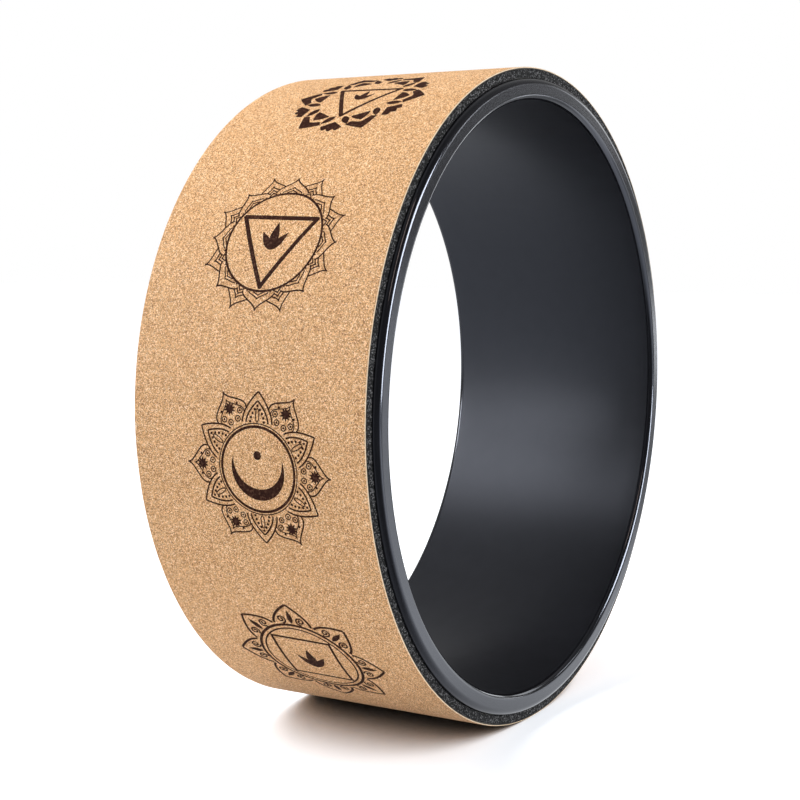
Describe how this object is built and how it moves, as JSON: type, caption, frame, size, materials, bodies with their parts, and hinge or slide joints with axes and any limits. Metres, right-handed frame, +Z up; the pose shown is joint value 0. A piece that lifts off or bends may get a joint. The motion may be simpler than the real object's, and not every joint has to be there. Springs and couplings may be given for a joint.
{
  "type": "yoga wheel",
  "caption": "Rigid plastic hoop wrapped in dark foam and printed cork, used for back stretches, balance and rolling support in yoga.",
  "frame": {"origin": "centre of the wheel, on its axis at mid-width", "axes": "+Y along the wheel axis, away from the end that faces the viewer in the picture; +Z up as the wheel stands on its tread"},
  "size_m": [0.33, 0.13, 0.3297],
  "materials": {
    "ring_plastic": "satin black, fine turned end faces",
    "tape_film": "clear sticky film",
    "foam": "closed-cell foam, granular where cut",
    "glue_film": "dried glue",
    "cork": "fine agglomerated cork with a dark brown print"
  },
  "bodies": {
    "root": {"inner_ring": "ring_plastic", "ring_tape": "tape_film", "foam_pad": "foam", "cover_glue": "glue_film", "cork_cover": "cork"}
  },
  "joints": []
}
